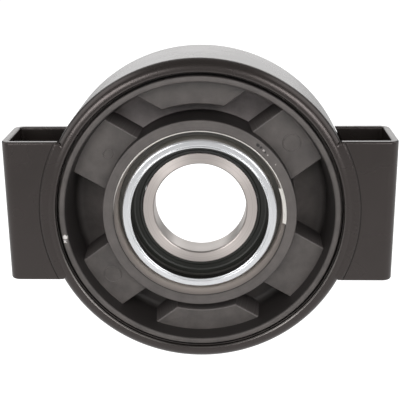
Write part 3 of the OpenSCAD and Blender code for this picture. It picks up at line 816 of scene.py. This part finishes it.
# Painted shade on the flange and on the rolled edge's inside
clear_of_painted_shade = add_node(plated_shield, "ShaderNodeMapRange", {
    "Value": depth.outputs[0], "From Min": FLANGE_SHADE_END * MM, "From Max": FLANGE_SHADE_FADE * MM})
in_roll_shade = add_node(plated_shield, "ShaderNodeMath", {0: radius, 1: (SHIELD_LIP_R + INSIDE_SKIN) * MM},
                  operation="LESS_THAN")
unshaded = add_node(plated_shield, "ShaderNodeMath", {0: clear_of_painted_shade.outputs[0], 1: in_roll_shade.outputs[0]},
                 operation="SUBTRACT", use_clamp=True)
tint = add_node(plated_shield, "ShaderNodeMix", {
    0: unshaded.outputs[0], MIX_A: linear("#2e2c29"), MIX_B: shade.outputs[MIX_OUT]}, data_type="RGBA")
metal = add_node(plated_shield, "ShaderNodeMapRange", {
    "Value": wall.outputs[0], "To Min": 0.7, "To Max": 0.1})
gloss = add_node(plated_shield, "ShaderNodeMapRange", {
    "Value": smears.outputs[0], "To Min": 0.16, "To Max": 0.24})
dulled = add_node(plated_shield, "ShaderNodeMapRange", {"Value": wall.outputs[0], "To Max": 0.55})
matt = add_node(plated_shield, "ShaderNodeMath", {0: gloss.outputs[0], 1: dulled.outputs[0]},
                operation="MAXIMUM")
skin = add_node(plated_shield, "ShaderNodeBsdfPrincipled", {
    "Base Color": tint.outputs[MIX_OUT], "Metallic": metal.outputs[0], "Roughness": matt.outputs[0]})
add_node(plated_shield, "ShaderNodeOutputMaterial", {"Surface": skin.outputs[0]})

for node_name, end in (("front_dust_shield", -1), ("rear_dust_shield", 1)):
    shield = finished(turned([(radius, end * along, rounding) for radius, along, rounding in (
        (FLANGE_R, RING_END, 0.2), (FLANGE_R, RING_END + SHIELD_SHEET, 0.3),
        (SHIELD_R, RING_END + SHIELD_SHEET, 0.8), (SHIELD_R, SHIELD_END, SHIELD_ROLL),
        (SHIELD_CREASE_R + SHIELD_CREASE_HALF, SHIELD_END, 0.2),
        (SHIELD_CREASE_R, SHIELD_END - SHIELD_CREASE_DEPTH, 0.1),
        (SHIELD_CREASE_R - SHIELD_CREASE_HALF, SHIELD_END, 0.2),
        (SHIELD_LIP_R, SHIELD_END, SHIELD_EDGE), (SHIELD_LIP_R, SHIELD_RETURN, 0.3),
        (SHIELD_LIP_R + SHIELD_SHEET, SHIELD_RETURN, 0.3),
        (SHIELD_LIP_R + SHIELD_SHEET, SHIELD_END - SHIELD_SHEET, 0.2),
        (SHIELD_R - SHIELD_SHEET, SHIELD_END - SHIELD_SHEET, 0.3),
        (SHIELD_R - SHIELD_SHEET, RING_END, 0.3))]), "rolled_" + node_name, plated_shield)
    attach(shield, "housing")
    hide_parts(node_name)

# Floor, light and camera
# A white table below the part. A wide box over the camera and one overhead light it; two boxes in
# front and two at the sides only show in its gloss, and three behind it give the shell's pale top.
# The camera stands in front, a little above the axis.
FLOOR_DROP = 60.0
FLOOR_HALF_M = 12
FADE_START_M = -0.38
FADE_END_M = -0.8
# Watts for each square metre of a soft box at which its face is white
WHITE_WATTS = 4

# White matt table: to the camera it is white but for the part's shadow, and the part's gloss shows
# it white too, fading towards the camera.
white_floor = new_material("white_table")
rays = add_node(white_floor, "ShaderNodeLightPath")
mirrored_ray = add_node(white_floor, "ShaderNodeMath", {
    0: rays.outputs["Is Glossy Ray"], 1: rays.outputs["Is Transmission Ray"]}, operation="MAXIMUM")
place = add_node(white_floor, "ShaderNodeTexCoord").outputs["Object"]
spot = add_node(white_floor, "ShaderNodeSeparateXYZ", {"Vector": place})
fade = add_node(white_floor, "ShaderNodeMapRange", {
    "Value": spot.outputs["Y"], "From Min": FADE_START_M, "From Max": FADE_END_M,
    "To Min": 0.97, "To Max": 0.5})
matt = add_node(white_floor, "ShaderNodeBsdfDiffuse", {"Color": linear("#e6e6e6")})
mirrored_white = add_node(white_floor, "ShaderNodeEmission", {"Strength": fade.outputs[0]})
dim = add_node(white_floor, "ShaderNodeBsdfDiffuse", {"Color": linear("#8c8c8c")})
glow = add_node(white_floor, "ShaderNodeEmission", {"Strength": 0.96})
both = add_node(white_floor, "ShaderNodeAddShader", {0: dim.outputs[0], 1: glow.outputs[0]})
unseen = add_node(white_floor, "ShaderNodeMixShader", {
    0: mirrored_ray.outputs[0], 1: matt.outputs[0], 2: mirrored_white.outputs[0]})
table = add_node(white_floor, "ShaderNodeMixShader", {
    0: rays.outputs["Is Camera Ray"], 1: unseen.outputs[0], 2: both.outputs[0]})
add_node(white_floor, "ShaderNodeOutputMaterial", {"Surface": table.outputs[0]})

floor_mesh = bmesh.new()
bmesh.ops.create_grid(floor_mesh, x_segments=1, y_segments=1, size=FLOOR_HALF_M)
bmesh.ops.translate(floor_mesh, vec=(0, 0, -(HOUSING_R + FLOOR_DROP) * MM), verts=floor_mesh.verts)
white_table = finished(floor_mesh, "white_table", white_floor)

world = bpy.data.worlds.new("studio")
world.use_nodes = True
world.node_tree.nodes.clear()
room = add_node(world, "ShaderNodeBackground", {"Color": linear("#ffffff"), "Strength": 0.25})
add_node(world, "ShaderNodeOutputWorld", {"Surface": room.outputs[0]})
bpy.context.scene.world = world


def soft_box(name, place, width, height, radiance, in_gloss=True, in_diffuse=True):
    """A rectangular soft box that faces the part, in metres, as bright as radiance.

    It can be left out of what the gloss shows, or of the light on matt surfaces.
    """
    lamp = bpy.data.lights.new(name, "AREA")
    lamp.shape = "RECTANGLE"
    lamp.size = width
    lamp.size_y = height
    lamp.energy = WHITE_WATTS * width * height * radiance
    box = bpy.data.objects.new(name, lamp)
    box.location = place
    box.rotation_euler = (-Vector(place)).to_track_quat("-Z", "Y").to_euler()
    box.visible_camera = False
    box.visible_glossy = in_gloss
    box.visible_diffuse = in_diffuse
    bpy.context.scene.collection.objects.link(box)


soft_box("front_soft_box", (0, -1.7, 1.0), 2.6, 1.0, 2.5, in_gloss=False)
soft_box("left_soft_box", (-0.8, -1.7, 0.33), 0.75, 0.6, 6.0, in_diffuse=False)
soft_box("right_soft_box", (0.8, -1.7, 0.33), 0.75, 0.6, 6.0, in_diffuse=False)
soft_box("left_wall", (-1.6, -0.1, 1.0), 1.6, 1.8, 1.0, in_diffuse=False)
soft_box("right_wall", (1.6, -0.1, 1.0), 1.6, 1.8, 1.0, in_diffuse=False)
soft_box("top_soft_box", (0, 0.7, 1.6), 2.4, 1.4, 2.0, in_gloss=False)
soft_box("low_back_soft_box", (0, 1.9, 0.175), 2.0, 0.29, 0.9)
soft_box("back_soft_box", (0, 1.9, 0.57), 2.0, 0.5, 1.35)
soft_box("high_back_soft_box", (0, 1.8, 1.2), 3.0, 0.8, 0.6)

CAMERA_PLACE = Vector((19.2, -566.5, 188.1)) * MM
CAMERA_AIM = Vector((0, -9.0, 5.86)) * MM
CAMERA_ROLL = math.radians(-0.579)
SENSOR_W = 36
FOCAL_LENGTH = 81.86
lens = bpy.data.cameras.new("camera")
lens.sensor_width = SENSOR_W
lens.lens = FOCAL_LENGTH
camera = bpy.data.objects.new("camera", lens)
camera.location = CAMERA_PLACE
view = (CAMERA_AIM - CAMERA_PLACE).to_track_quat("-Z", "Y").to_matrix()
camera.rotation_euler = (view @ Matrix.Rotation(CAMERA_ROLL, 3, "Z")).to_euler()
bpy.context.scene.collection.objects.link(camera)
bpy.context.scene.camera = camera
bpy.context.scene.view_settings.view_transform = "Standard"
